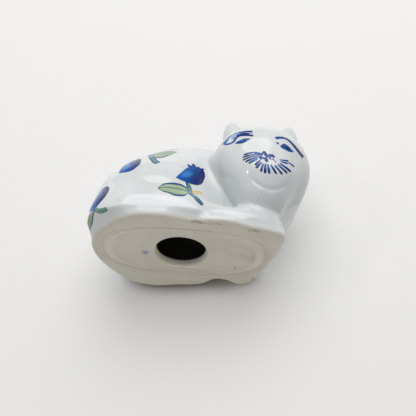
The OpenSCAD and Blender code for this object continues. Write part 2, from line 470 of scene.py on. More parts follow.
clayLook = dict(
    pale=(0.74, 0.705, 0.61, 1), dark=(0.675, 0.64, 0.545, 1), speck=(0.10, 0.09, 0.07, 1),
    # the second and third colours here: a paler colour painted as a highlight on the plate's ridge, and
    # near-black painted shade for the hollow inside
    rust=(0.30, 0.185, 0.075, 1), slip=(0.80, 0.765, 0.675, 1), inside=(0.10, 0.095, 0.085, 1),
    cloudScale=45.0, grainScale=900.0, speckScale=260.0, rustScale=70.0, slipScale=60.0,
    bumpHeight=0.0004,
)
glazeLook = dict(
    # the third colour is glaze pooling in creases and also painted shade there
    white=(0.74, 0.765, 0.765, 1), shade=(0.66, 0.69, 0.685, 1), pooled=(0.44, 0.48, 0.485, 1),
    pinhole=(0.30, 0.31, 0.33, 1), roughness=0.10, ior=1.5, specular=0.5,
    waveScale=55.0, pinScale=420.0, sheenScale=160.0,
    edgeScale=240.0, edgeWander=0.0014,     # the ragged line where the glaze was wiped off the foot
)


def clayGroup():
    tree, given, out = groupTree("bareClayCoat", [
        ("Vector", "NodeSocketVector", None), ("Stain", "NodeSocketFloat", 0.0),
    ], [("Color", "NodeSocketColor"), ("Roughness", "NodeSocketFloat"), ("Height", "NodeSocketFloat")])
    where = given.outputs["Vector"]
    cloud = noise(tree, where, clayLook["cloudScale"], 4.0, 0.6)
    fine = noise(tree, where, clayLook["grainScale"], 2.0, 0.6)
    colour = mixed(tree, between(tree, cloud, 0.35, 0.68), clayLook["pale"], clayLook["dark"])
    colour = mixed(tree, between(tree, fine, 0.45, 0.75, 0.0, 0.35), colour, clayLook["dark"])
    speck = noise(tree, where, clayLook["speckScale"], 1.0, 0.4)
    colour = mixed(tree, between(tree, speck, 0.775, 0.82, 0.0, 0.55), colour, clayLook["speck"])
    colour = mixed(tree, given.outputs["Stain"], colour, clayLook["rust"])
    wire(tree, colour, out.inputs["Color"])
    wire(tree, between(tree, fine, 0.2, 0.8, 0.78, 0.95), out.inputs["Roughness"])
    wire(tree, plus(tree, times(tree, fine, 0.35), cloud), out.inputs["Height"])
    return tree


def glazeGroup():
    tree, given, out = groupTree("whiteGlazeCoat", [
        ("Vector", "NodeSocketVector", None), ("PoolAndShade", "NodeSocketFloat", 0.0),
    ], [("Color", "NodeSocketColor"), ("Roughness", "NodeSocketFloat"), ("Height", "NodeSocketFloat")])
    where = given.outputs["Vector"]
    wave = noise(tree, where, glazeLook["waveScale"], 2.0, 0.5)
    colour = mixed(tree, between(tree, wave, 0.3, 0.75), glazeLook["white"], glazeLook["shade"])
    # glaze pooling, together with painted shade, darkens the creases
    colour = mixed(tree, given.outputs["PoolAndShade"], colour, glazeLook["pooled"])
    pin = noise(tree, where, glazeLook["pinScale"], 1.0, 0.4)
    colour = mixed(tree, between(tree, pin, 0.765, 0.80, 0.0, 0.35), colour, glazeLook["pinhole"])
    wire(tree, colour, out.inputs["Color"])
    sheen = noise(tree, where, glazeLook["sheenScale"], 2.0, 0.5)
    rough = glazeLook["roughness"]
    wire(tree, between(tree, sheen, 0.3, 0.7, rough * 0.7, rough * 1.5), out.inputs["Roughness"])
    wire(tree, wave, out.inputs["Height"])
    return tree


clayCoat = clayGroup()
glazeCoat = glazeGroup()


def glazedMaterial():
    # white glaze that stops just above the bare foot; the hollow inside is bare clay, painted near-black as
    # painted shade
    material, tree, shader = newMaterial("whiteGlazedClay")
    spot = objectSpot(tree)
    pool, hollow = pointMark(tree, "pool"), pointMark(tree, "hollow")
    height = addNode(tree, "ShaderNodeSeparateXYZ", {0: spot}).outputs[2]
    ragged = minus(tree, noise(tree, spot, glazeLook["edgeScale"], 3.0, 0.6), 0.5)
    line = plus(tree, height, times(tree, ragged, glazeLook["edgeWander"]))
    bare = between(tree, line, 0.0005, 0.0022, 1.0, 0.0)
    edge = between(tree, line, 0.0003, 0.0010, 0.0, 1.0)
    rusty = between(tree, noise(tree, spot, clayLook["rustScale"], 3.0, 0.6), 0.56, 0.68)
    glaze = addNode(tree, "ShaderNodeGroup", node_tree=glazeCoat)
    clay = addNode(tree, "ShaderNodeGroup", node_tree=clayCoat)
    for node in (glaze, clay):
        wire(tree, spot, node.inputs["Vector"])
    wire(tree, pool, glaze.inputs["PoolAndShade"])
    wire(tree, times(tree, edge, rusty), clay.inputs["Stain"])
    colour = mixed(tree, bare, glaze.outputs["Color"], clay.outputs["Color"])
    colour = stainsAndShading(tree, spot, colour, footMarks)
    # painted shade: the hollow inside is coloured near-black
    colour = mixed(tree, hollow, colour, clayLook["inside"])
    wire(tree, colour, shader.inputs["Base Color"])
    rough = addNode(tree, "ShaderNodeMix", {0: bare, 2: glaze.outputs["Roughness"],
                                            3: clay.outputs["Roughness"]})
    wire(tree, maths(tree, "MAXIMUM", rough.outputs[0], hollow), shader.inputs["Roughness"])
    rise = addNode(tree, "ShaderNodeMix", {0: bare, 2: glaze.outputs["Height"], 3: clay.outputs["Height"]})
    addBump(tree, rise.outputs[0], 0.25, shader)
    shader.inputs["Specular IOR Level"].default_value = glazeLook["specular"]
    shader.inputs["IOR"].default_value = glazeLook["ior"]
    return material


def stainsAndShading(tree, spot, colour, marks):
    # patches of another colour, each a ragged oval around its own place; most are stains, and on the plate
    # one long line is painted shade and one is a painted highlight
    for mark in marks:
        at = place([mark["at"]])[0]
        moved = addNode(tree, "ShaderNodeVectorMath", {0: spot, 1: tuple(at)}, operation="SUBTRACT")
        scaled = addNode(tree, "ShaderNodeVectorMath", {0: moved.outputs[0]}, operation="MULTIPLY")
        scaled.inputs[1].default_value = [1 / (k * mm) for k in mark["reach"]]
        length = addNode(tree, "ShaderNodeVectorMath", {0: scaled.outputs[0]}, operation="LENGTH")
        ragged = between(tree, noise(tree, spot, mark["ragged"], 2.0, 0.6), 0.3, 0.7, -0.4, 0.6)
        far = plus(tree, length.outputs["Value"], ragged)
        colour = mixed(tree, between(tree, far, 0.5, 1.3, mark["strength"], 0.0), colour, mark["colour"])
    return colour


def plateMaterial():
    material, tree, shader = newMaterial("bareBasePlate")
    spot = objectSpot(tree)
    clay = addNode(tree, "ShaderNodeGroup", {"Vector": spot}, node_tree=clayCoat)
    colour = stainsAndShading(tree, spot, clay.outputs["Color"], plateMarks)
    # painted highlight: a paler, patchy band on the ridge around the panel
    slip = pointMark(tree, "slip")
    broken = between(tree, noise(tree, spot, clayLook["slipScale"], 2.0, 0.5), 0.3, 0.7, 0.35, 0.9)
    colour = mixed(tree, times(tree, slip, broken), colour, clayLook["slip"])
    wire(tree, colour, shader.inputs["Base Color"])
    wire(tree, clay.outputs["Roughness"], shader.inputs["Roughness"])
    addBump(tree, clay.outputs["Height"], 0.3, shader)
    return material


plateMarks = [
    dict(at=(-21.5, 5.5, 0.6), reach=(1.6, 2.2, 2),
        ragged=700, strength=0.8, colour=(0.14, 0.17, 0.42, 1)),
    dict(at=(24.5, 14.5, 0.6), reach=(0.7, 0.9, 2),
        ragged=700, strength=0.7, colour=(0.07, 0.06, 0.05, 1)),
    dict(at=(-19.0, 21.0, 0.6), reach=(0.9, 1.0, 2),
        ragged=700, strength=0.7, colour=(0.06, 0.05, 0.04, 1)),
    # a darker patch over the shallow dish
    dict(at=(33.5, 3.0, 0.6), reach=(6, 6, 3),
        ragged=110, strength=0.16, colour=(0.20, 0.18, 0.14, 1)),
    # painted shade: a long dark line below the vent, where a groove's shadow falls
    dict(at=(-2.0, 18.8, 0.6), reach=(19, 0.9, 3),
        ragged=60, strength=0.22, colour=(0.16, 0.14, 0.11, 1)),
    # painted highlight: a pale line beside it, on the lip's edge
    dict(at=(-2.0, 17.2, 0.6), reach=(17, 0.8, 3),
        ragged=60, strength=0.5, colour=(0.84, 0.81, 0.72, 1)),
]
footMarks = [
    dict(at=(7.5, -25.2, 0.8), reach=(7.5, 0.8, 1.6),
        ragged=420, strength=0.5, colour=(0.30, 0.20, 0.08, 1)),
    dict(at=(31.0, -21.6, 0.8), reach=(3.0, 1.2, 1.6),
        ragged=420, strength=0.5, colour=(0.26, 0.20, 0.12, 1)),
    dict(at=(36.0, 24.0, 0.8), reach=(2.6, 2.6, 1.6),
        ragged=420, strength=0.6, colour=(0.28, 0.20, 0.10, 1)),
]


print("shaping the clay")


def wholeField(p):
    return carve(skinField(p), hollowField(p), plateClay["shoulder"])


points, quads = skinNet(wholeField, grain["low"], grain["high"], grain["step"])
points = settle(wholeField, points, 3)
# how far each point is part of the hollow inside: 0 on the skin and the rounded rim, 1 within; the material
# paints this part near-black as painted shade
hollow = ease((np.abs(skinField(points)) - 0.6) / 0.6) * (points[:, 2] > 2.0)

# glaze gathers where two rolls of clay meet; this mark also darkens those creases as painted shade, fully on
# the head's side and less on the body's
parts = [bodyField(points), meld(skullField(points), earsField(points), 0.5)]
pool = np.exp(-np.maximum(np.maximum(*parts), 0) / glazeClay["poolReach"])
pool *= np.where(parts[1] < parts[0], glazeClay["poolHead"], glazeClay["poolBody"])
print("skin of", len(points), "points and", len(quads), "faces")

# which faces of the skin each piece claims: the piece whose own clay is nearest
middle = points[quads].mean(1)
onSkin = hollow[quads].max(1) < 0.5
trunkNear, headNear = trunkField(middle), skullField(middle)
bodyNear, earNear = bodyField(middle), earsField(middle)


def rollClaim(near, within):
    return (onSkin & (middle[:, 2] > seamClay["above"]) & (near < trunkNear - seamClay["proud"])
            & (bodyNear < headNear) & within)


behind, ahead = middle[:, 0] < tailClay["before"], middle[:, 0] > legClay["behind"]
outside, rightHalf = middle[:, 1] < tailClay["outside"], middle[:, 1] < legClay["split"]
claims = dict(
    head_shell=onSkin & ((headNear < bodyNear) | (earNear < bodyNear)),
    tail=rollClaim(tailField(middle), behind & outside),
    right_foreleg=rollClaim(roll(middle, legClay["right"]), ahead & rightHalf),
    left_foreleg=rollClaim(roll(middle, legClay["left"]), ahead & ~rightHalf),
)
for key, side in (("right_ear", -1), ("left_ear", 1)):
    ownSide = (middle[:, 0] - headClay["skull"]["at"][0]) * side > 0
    proud = (earNear < headNear - earClay["proud"]) & (earNear < bodyNear - earClay["clear"])
    wanted = onSkin & proud & ownSide & (middle[:, 2] > earClay["above"])
    claims[key] = largestPatch(quads, wanted, len(points))
    claims["head_shell"] &= ~claims[key]

glazed = glazedMaterial()
pieceNames = dict(head_shell="hollowHead", tail="curledTail", right_foreleg="rightForeleg",
                  left_foreleg="leftForeleg", right_ear="rightEar", left_ear="leftEar")
ears = ("right_ear", "left_ear")


def makePatch(node):
    # a piece's own faces, and the cap that closes it against the clay behind
    chosen = largestPatch(quads, claims[node], len(points))
    within = chosen
    if node == "head_shell":            # its ears close their own openings, so only the neck is capped
        within = chosen | claims["right_ear"] | claims["left_ear"]
    behind = skullField if node in ears else trunkField
    return (chosen, *closingCap(points, rimEdges(quads[within]), behind))


def addCap(everyPoint, groups, inner, caps):
    # a neighbour's cap, turned round, closes the piece that it stands on
    shift = len(everyPoint) - len(points)
    turned = [np.where(g >= len(points), g + shift, g)[:, ::-1] for g in caps]
    return np.concatenate([everyPoint, inner]), groups + turned


def finishPiece(name, node, everyPoint, groups):
    normals = slopeOf(wholeField, everyPoint)
    normals /= np.maximum(np.linalg.norm(normals, axis=1, keepdims=True), 1e-6)
    marks = np.zeros((2, len(everyPoint)))
    marks[:, :len(points)] = pool, hollow
    kept, faces, normals, ownPoolAndShade, ownHollowShade = compact(everyPoint, groups, normals, *marks)
    obj = meshPiece(name, kept, faces, normals, pool=ownPoolAndShade, hollow=ownHollowShade)
    obj.data.materials.append(glazed)
    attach(obj, "root")
    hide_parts(node)
    print(name, len(obj.data.polygons), "faces")


wholeSkin = meshPiece("wholeSkin", points, [quads])     # only for throwing the paint onto; removed at the end
patches = {node: makePatch(node) for node in pieceNames}
body = np.ones(len(quads), bool)
bodyPoints, bodyCaps = points, []
for node, (chosen, inner, *caps) in patches.items():
    body &= ~chosen
    everyPoint, groups = np.concatenate([points, inner]), [quads[chosen], *caps]
    if node == "head_shell":
        for ear in ears:
            _, earInner, *earCaps = patches[ear]
            everyPoint, groups = addCap(everyPoint, groups, earInner, earCaps)
    if node not in ears:
        bodyPoints, bodyCaps = addCap(bodyPoints, bodyCaps, inner, caps)
    finishPiece(pieceNames[node], node, everyPoint, groups)
finishPiece("castBody", "body_shell", bodyPoints, [quads[body], *bodyCaps])


print("base plate")


def basePlate(around=180):
    angle = np.arange(around) * 2 * math.pi / around
    ventX, ventY = plateClay["ventAt"]
    ventWay = np.stack([np.cos(angle), np.sin(angle)], 1)
    # the panel's edge in the same directions, seen from the vent
    n = plateClay["full"]
    edge = []
    for a in angle:
        low, high = 0.0, 90.0
        for _ in range(30):
            half = (low + high) / 2
            p = np.array([ventX + half * math.cos(a), ventY + half * math.sin(a), 0.0])
            low, high = (half, high) if plateField(p) < 0 else (low, half)
        edge.append((ventX + low * math.cos(a), ventY + low * math.sin(a)))
    edge = np.array(edge)
    ahead = np.roll(edge, -1, 0) - np.roll(edge, 1, 0)
    outwards = np.stack([ahead[:, 1], -ahead[:, 0]], 1) / np.hypot(*ahead.T)[:, None]
    lip, ridge, under = plateClay["lip"], plateClay["ridge"], plateClay["recess"]
    top = under + plateClay["thick"]
    # each row and its height: down the vent (minus how far it has flared), then across the underside
    # (share of the way to the panel's edge), then past that edge and up to the top
    rows = [(0.0, top)]
    rows += [(-(lip * (1 - math.cos(t))), under + (top - under) * (1 - math.sin(t)))
             for t in (0.2, 0.4, 0.6, 0.8, 1.0, 1.2, 1.4, 1.57)]
    first, panel = 0.02, plateClay["panel"]
    rows += [(share, under) for share in np.linspace(first, panel, 32)]
    rows += [(panel + (1 - panel) * t, under - ridge * math.sin(math.pi * t) ** 2)
             for t in np.linspace(0.08, 1.0, 12)]
    rows += [(1.5, under), (2.0, under + 0.1), (2.0, top * 0.6), (1.5, top)]
    rings = []
    for share, height in rows:
        ring = np.zeros((around, 3))
        flare = lip if share > 0 else -share
        inner = plateClay["ventAt"] + ventWay * (plateClay["ventRadius"] + flare)
        ring[:, :2] = inner + (edge - inner) * min(max(share, 0.0), 1.0) + outwards * max(share - 1.0, 0.0)
        ring[:, 2] = height
        if height == under:
            # a shallow dish near the chest and a slight wave, both fading out at the panel's ends
            x, y = ((ring[:, :2] - plateClay["dishAt"]) / plateClay["dishHalf"]).T
            fade = math.sin(math.pi * min(max((share - first) / (panel - first), 0), 1)) ** 0.5
            ring[:, 2] += plateClay["dish"] * np.exp(-(x * x + y * y)) * fade
            ring[:, 2] += plateClay["wave"] * fade * np.sin(ring[:, 0] / 7 + 1) * np.cos(ring[:, 1] / 6)
        rings.append(ring)
    pts = np.concatenate(rings)
    k = np.arange(around)
    after = (k + 1) % around
    count = len(rows)
    faces = []
    for r in range(count):
        a, b = r * around, (r + 1) % count * around
        faces.append(np.stack([a + k, a + after, b + after, b + k], 1))
    faces = np.concatenate(faces)
    # the ridge around the panel gets a paler band, a painted highlight
    slip = np.repeat([1.0 if 0.86 <= share < 1.0 else 0.0 for share, _ in rows], around)
    return meshPiece("basePlate", pts, [faces], slip=slip)


plate = basePlate()
plate.data.materials.append(plateMaterial())
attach(plate, "root")
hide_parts("base_plate")


# Marks lie on the skin as seen from one side: (sideways, up) in mm, and each is thrown onto the skin.
# A line is a list of points with the brush's half width at each; a wash is two edges with the same ends.
print("painting")
flankView, rumpView = 0.0, 50.0         # degrees that each view is turned from the cat's right side
throwFrom = 90                          # how far outside the cat each mark starts, in mm

berries = dict(
    view=flankView,
    washes=[
        ([(-8.5, 26), (-6, 31), (-3.5, 36.5), (-0.5, 39.5), (2.5, 40), (5, 38.5), (6, 34.5)],
         [(-8.5, 26), (-6, 25), (-3, 24.5), (0, 24.5), (3, 25.5), (5, 28.5), (6, 34.5)]),
        ([(-37.5, 30.5), (-37, 35.5), (-35, 41), (-32.5, 45), (-30, 46.5), (-27.5, 43)],
         [(-37.5, 30.5), (-33.5, 29.5), (-30.5, 30), (-28.5, 32.5), (-27, 36), (-27.5, 43)]),
    ],
)
leaves = dict(
    view=flankView,
    washes=[
        ([(-16.5, 16.5), (-14.5, 20), (-12, 21.5), (-8.5, 22.5), (-5, 22.5), (-2, 20.5), (-1, 18.5)],
         [(-16.5, 16.5), (-14, 14), (-11, 13), (-8, 11.5), (-5.5, 11.5), (-3, 12.5), (-1, 17)]),
        ([(-22.5, 48), (-20, 53), (-15.5, 54.5), (-12.5, 55), (-9.5, 53)],
         [(-22.5, 48), (-20.5, 42.5), (-17, 42), (-14, 45.5), (-9.5, 53)]),
    ],
)
stemLines = dict(
    view=flankView,
    lines=[
        [(-3, 25, 0.5), (-2, 20.5, 0.4), (-1, 16, 0.6), (1.5, 13.5, 0.7), (3.5, 11, 0.8), (5.8, 8.5, 0.5)],
        [(-1.5, 24, 0.4), (-0.5, 20.5, 0.4), (0.2, 17, 0.4), (2, 15.2, 0.4), (4.3, 12, 0.4), (6, 9.5, 0.3)],
        [(-31.5, 46.5, 0.25), (-25, 52, 0.3), (-19, 57, 0.3), (-9.5, 58.5, 0.25)],
        [(-25, 52, 0.4), (-22.5, 42, 0.6), (-20.3, 36.5, 0.5), (-18.5, 35.5, 0.3)],
        [(-24, 53, 0.4), (-21.3, 44, 0.6), (-19, 38.5, 0.5), (-17, 37, 0.3)],
    ],
)
rumpBerry = dict(
    view=rumpView,
    washes=[
        ([(-18, 7.5), (-21, 10), (-23, 14.5), (-22.5, 19), (-20, 22.5), (-15.5, 24), (-11, 21)],
         [(-18, 7.5), (-14.5, 7.5), (-12, 9), (-9.5, 12), (-9, 15.5), (-9.5, 18), (-11, 21)]),
    ],
)
rumpLeaves = dict(
    view=rumpView,
    washes=[
        ([(-14.5, 7.5), (-19, 6.8), (-24, 5.8), (-27, 4)],
         [(-13.5, 6), (-17, 4.6), (-21, 3.6), (-27, 3.6)]),
    ],
)
rumpStem = dict(
    view=rumpView,
    washes=[
        ([(-13.8, 8.8), (-12, 6.8), (-10, 6.1), (-7, 6.0)],
         [(-14.8, 7), (-13, 4.8), (-10.5, 4.2), (-7, 4.4)]),
    ],
)
calyx = dict(
    view=flankView,
    lines=[
        [(-0.4, 37.2, 0.9), (-2.2, 38.6, 0.9), (-3.4, 40.0, 0.3)],
        [(0.4, 37.4, 1.2), (-0.2, 39.8, 0.9), (-0.6, 42.2, 0.3)],
        [(1.4, 37.2, 1.2), (2.0, 39.0, 0.8), (2.4, 40.6, 0.3)],
        [(1.6, 37.0, 0.9), (3.4, 38.6, 0.9), (5.0, 40.0, 0.3)],
    ],
)
lidWash = dict(
    view=flankView,
    washes=[
        ([(17.6, 54.2), (20.5, 55.8), (24.5, 55.2), (28.4, 54.4)],
         [(17.8, 50.8), (20.4, 51.2), (23, 52.4), (28.6, 50.8)]),
    ],
)
rumpDot = dict(view=rumpView, lines=[[(-13.9, 16.6, 0.8), (-13.1, 17, 1.0), (-12.3, 17.4, 0.7)]])
stemWash = dict(
    view=flankView,
    washes=[
        ([(-3.2, 25), (-2.2, 20.5), (-1.2, 16), (1.5, 13.2), (3.5, 10.6), (6, 8.2)],
         [(-1.3, 24.4), (-0.4, 20.5), (0.4, 17), (2.3, 15.2), (4.6, 12.2), (6.4, 9.4)]),
        ([(-25.2, 52), (-22.6, 42), (-20.5, 36.5), (-18.5, 35.2)],
         [(-23.6, 53), (-21.0, 44), (-18.8, 38.7), (-16.8, 37.2)]),
    ],
)
yellowTouch = dict(view=flankView, lines=[[(-0.5, 17.8, 0.4), (2, 20.2, 1.0), (5, 21.4, 0.5)]])

# the face: lids, eyes, nose and the fan of whisker strokes
faceWashes = dict(
    view=flankView,
    washes=[
        ([(19.8, 47.4), (22.2, 48.8), (24.6, 49.2), (27.4, 48.6)],
         [(19.8, 47.0), (22.2, 46.0), (24.8, 46.2), (27.4, 48.2)]),
        ([(42.2, 45.0), (44.4, 47.6), (46.6, 46.8), (49.6, 44.4)],
         [(42.2, 44.6), (44.2, 43.2), (47.0, 42.8), (49.6, 44.2)]),
    ],
)
faceLines = dict(
    view=flankView,
    lines=[
        [(14.2, 50.2, 0.8), (15.4, 52.4, 0.8), (17, 54.8, 0.6), (19.6, 56, 0.4), (23.6, 55.4, 0.6),
         (28.4, 54.6, 0.5)],
        [(14.4, 49.8, 0.4), (17.4, 48.2, 0.4), (19.2, 49, 0.5), (20.2, 51, 0.5), (22.2, 52.2, 0.6),
         (25.6, 51.4, 0.4), (28.8, 50.4, 0.5)],
        [(20.4, 53.2, 0.5), (22.6, 53.4, 0.9), (25.2, 52.6, 0.8), (26.8, 51.8, 0.4)],
        [(39.8, 49.6, 0.8), (41.8, 51, 0.7), (44.4, 51.8, 0.6), (46.6, 51.4, 0.7), (48.6, 50, 0.7),
         (50.8, 47.8, 0.8), (53, 46, 0.9), (55, 45, 1.1)],
        [(40.4, 47.0, 0.4), (41.6, 46.0, 0.4)],
        [(33.2, 37.8, 0.3), (34.3, 39.2, 0.6), (35.4, 37.0, 0.4)],
        [(33.8, 38.6, 0.4), (34.7, 38.0, 0.5), (34.9, 36.6, 0.4)],
        [(35.8, 36.7, 0.4), (37.5, 36.5, 0.5), (39.3, 37.3, 0.4)],
        [(34.8, 35.8, 0.5), (35.3, 34.6, 0.6), (35.9, 33.4, 0.4)],
        [(36.6, 35.8, 0.35), (37.7, 34.6, 0.35)],
        [(29.5, 38.2, 0.4), (32.0, 37.9, 0.5), (33.6, 36.9, 0.4)],
        [(31.0, 36.9, 0.35), (32.6, 36.0, 0.4), (34.2, 35.0, 0.35)],
        [(35.2, 35.4, 0.4), (35.8, 36.6, 0.4), (36.4, 37.6, 0.4)],
        [(36.6, 37.8, 0.4), (38.2, 37.3, 0.6), (39.4, 36.0, 0.4)],
        [(31.8, 35.8, 0.35), (33.2, 34.2, 0.35)],
        [(33.2, 35.4, 0.35), (35.2, 34.6, 0.45)],
        [(34.8, 34.0, 0.4), (36.0, 33.0, 0.4)],
        [(38.2, 35.4, 0.3), (39.2, 34.4, 0.3)],
        [(39.4, 34.2, 0.25), (40.2, 33.4, 0.25)],
    ],
)
# each whisker stroke: the direction and distance from the nose where it starts and where it stops,
# in degrees and mm, and its half width
noseSpot = (36, 36)
whiskerStrokes = [
    (146, 4.0, 168, 12.0, 0.40), (163, 5.0, 175, 12.3, 0.36), (173, 4.8, 182, 12.0, 0.34),
    (183, 4.8, 190, 10.9, 0.40), (194, 5.0, 199, 9.6, 0.50), (212, 4.0, 218, 7.6, 0.45),
    (229, 4.4, 229, 8.3, 0.50), (244, 4.4, 250, 8.6, 0.45), (258, 4.0, 264, 8.9, 0.45),
    (273, 4.2, 278, 8.9, 0.45), (291, 4.5, 300, 9.6, 0.40), (309, 5.7, 315, 11.0, 0.40),
    (324, 6.2, 328, 12.0, 0.40), (335, 6.6, 338, 12.9, 0.45), (354, 6.0, 363, 10.6, 0.35),
    (346, 6.6, 353, 10.3, 0.35), (357, 10.4, 356, 13.8, 0.40),
]


def fanLine(startTurn, startReach, endTurn, endReach, width):
    line = []
    for share, part in ((0.0, 0.6), (0.35, 0.9), (0.7, 1.1), (1.0, 0.9)):
        turn = math.radians(startTurn + (endTurn - startTurn) * share)
        reach = startReach + (endReach - startReach) * share
        x, z = noseSpot[0] + reach * math.cos(turn), noseSpot[1] + reach * math.sin(turn)
        line.append((x, z, width * part))
    return line


whiskerFan = dict(view=flankView, lines=[fanLine(*stroke) for stroke in whiskerStrokes])

paintLook = dict(
    cobaltDark=(0.001, 0.010, 0.12, 1), cobalt=(0.002, 0.10, 0.42, 1), cobaltPale=(0.06, 0.31, 0.66, 1),
    leafGreen=(0.33, 0.50, 0.26, 1), leafPale=(0.48, 0.62, 0.40, 1), leafBlue=(0.012, 0.075, 0.22, 1),
    stemDark=(0.10, 0.26, 0.24, 1), stemPale=(0.20, 0.38, 0.24, 1),
    ochre=(0.72, 0.50, 0.17, 1), ochrePale=(0.80, 0.66, 0.36, 1),
    lift=0.04, brush=1.5, seed=7, ior=1.5, specular=0.35, sheenScale=200.0,
)


def paintTree(name, paired):
    # one ribbon for each line, or one patch between each pair of edges, thrown onto the skin
    tree = bpy.data.node_groups.new(name, "GeometryNodeTree")
    for key, kind, value in (
        ("Geometry", "NodeSocketGeometry", None), ("Skin", "NodeSocketObject", None),
        ("Aim", "NodeSocketVector", (0, 1, 0)), ("Steps along", "NodeSocketInt", 24),
        ("Steps across", "NodeSocketInt", 7), ("Lift", "NodeSocketFloat", 0.00004),
        ("Seed", "NodeSocketInt", 0), ("Paint", "NodeSocketMaterial", None),
    ):
        socket = tree.interface.new_socket(key, in_out="INPUT", socket_type=kind)
        if value is not None:
            socket.default_value = value
    tree.interface.new_socket("Geometry", in_out="OUTPUT", socket_type="NodeSocketGeometry")
    given = tree.nodes.new("NodeGroupInput").outputs
    out = tree.nodes.new("NodeGroupOutput")

    def vectors(operation, a, b=None, scale=None):
        node = addNode(tree, "ShaderNodeVectorMath", {0: a}, operation=operation)
        if b is not None:
            wire(tree, b, node.inputs[1])
        if scale is not None:
            wire(tree, scale, node.inputs["Scale"])
        return node.outputs[0]

    def stored(geometry, key, value, domain="POINT"):
        node = addNode(tree, "GeometryNodeStoreNamedAttribute", {"Geometry": geometry, "Name": key},
                       data_type="FLOAT", domain=domain)
        wire(tree, value, node.inputs["Value"])
        return node.outputs[0]

    def named(key):
        return addNode(tree, "GeometryNodeInputNamedAttribute", {"Name": key}, data_type="FLOAT").outputs[0]

    grid = addNode(tree, "GeometryNodeMeshGrid", {"Vertices X": given["Steps along"],
                                                  "Vertices Y": given["Steps across"]})
    position = addNode(tree, "GeometryNodeInputPosition").outputs[0]
    onGrid = addNode(tree, "ShaderNodeSeparateXYZ", {0: position}).outputs
    sheet = stored(grid.outputs["Mesh"], "along", plus(tree, onGrid[0], 0.5))
    sheet = stored(sheet, "across", plus(tree, onGrid[1], 0.5))
    size = addNode(tree, "GeometryNodeAttributeDomainSize", {0: given["Geometry"]}, component="CURVE")
    count = maths(tree, "DIVIDE", size.outputs["Spline Count"], 2.0 if paired else 1.0)
    spots = addNode(tree, "GeometryNodePoints", {"Count": count})
    laid = addNode(tree, "GeometryNodeInstanceOnPoints", {"Points": spots.outputs[0], "Instance": sheet})
    index = addNode(tree, "GeometryNodeInputIndex").outputs[0]
    numbered = stored(laid.outputs[0], "stroke", index, "INSTANCE")
    chance = addNode(tree, "FunctionNodeRandomValue", {"ID": index, "Seed": given["Seed"]}, data_type="FLOAT")
    numbered = stored(numbered, "tone", chance.outputs[1], "INSTANCE")
    real = addNode(tree, "GeometryNodeRealizeInstances", {0: numbered}).outputs[0]

    def sampled(curveIndex):
        return addNode(tree, "GeometryNodeSampleCurve", {
            "Curves": given["Geometry"], "Factor": named("along"), "Curve Index": curveIndex,
            "Value": addNode(tree, "GeometryNodeInputRadius").outputs[0],
        }, mode="FACTOR", data_type="FLOAT", use_all_curves=False)

    if paired:
        first = times(tree, named("stroke"), 2.0)
        one, two = sampled(first), sampled(plus(tree, first, 1.0))
        flat = addNode(tree, "ShaderNodeMix", {0: named("across")}, data_type="VECTOR")
        wire(tree, one.outputs["Position"], flat.inputs[4])
        wire(tree, two.outputs["Position"], flat.inputs[5])
        where = flat.outputs[1]
    else:
        one = sampled(named("stroke"))
        side = vectors("NORMALIZE", vectors("CROSS_PRODUCT", one.outputs["Tangent"], given["Aim"]))
        reach = times(tree, one.outputs["Value"],
                      times(tree, minus(tree, named("across"), 0.5), 2.0))
        where = vectors("ADD", one.outputs["Position"], vectors("SCALE", side, scale=reach))
    skin = addNode(tree, "GeometryNodeObjectInfo", {"Object": given["Skin"]}, transform_space="RELATIVE")
    ray = addNode(tree, "GeometryNodeRaycast", {"Target Geometry": skin.outputs["Geometry"],
                                                "Source Position": where, "Ray Direction": given["Aim"],
                                                "Ray Length": 1.0})
    lifted = vectors("ADD", ray.outputs["Hit Position"],
                     vectors("SCALE", ray.outputs["Hit Normal"], scale=given["Lift"]))
    moved = addNode(tree, "GeometryNodeSetPosition", {"Geometry": real, "Position": lifted}).outputs[0]
    smooth = addNode(tree, "GeometryNodeSetShadeSmooth", {"Geometry": moved}).outputs[0]
    coloured = addNode(tree, "GeometryNodeSetMaterial", {"Geometry": smooth, "Material": given["Paint"]})
    wire(tree, coloured.outputs[0], out.inputs[0])
    return tree


def edgeCurve(name, splines, view):
    # each spline starts well outside the cat and is thrown inwards by the tree
    turn = math.radians(view)
    right = np.array([math.cos(turn), -math.sin(turn), 0])
    aimWay = np.array([math.sin(turn), math.cos(turn), 0])
    data = bpy.data.curves.new(name, "CURVE")
    data.dimensions = "3D"
    data.resolution_u = 8
    for spline in splines:
        pts = np.array([right * p[0] + np.array([0, 0, p[1]]) - aimWay * throwFrom for p in spline])
        pts = place(pts)
        new = data.splines.new("BEZIER")
        new.bezier_points.add(len(pts) - 1)
        for k, point in enumerate(new.bezier_points):
            before, after = pts[max(k - 1, 0)], pts[min(k + 1, len(pts) - 1)]
            handle = (after - before) / 6
            point.handle_left_type = point.handle_right_type = "FREE"
            point.co = pts[k]
            point.handle_left = pts[k] - handle
            point.handle_right = pts[k] + handle
            if len(spline[k]) > 2:      # a line carries its half width; a wash's edges have none
                point.radius = spline[k][2] * paintLook["brush"] * mm
    return addObject(name, data), tuple(aimWay)


lineTree, washTree = paintTree("brushLines", False), paintTree("paintWashes", True)


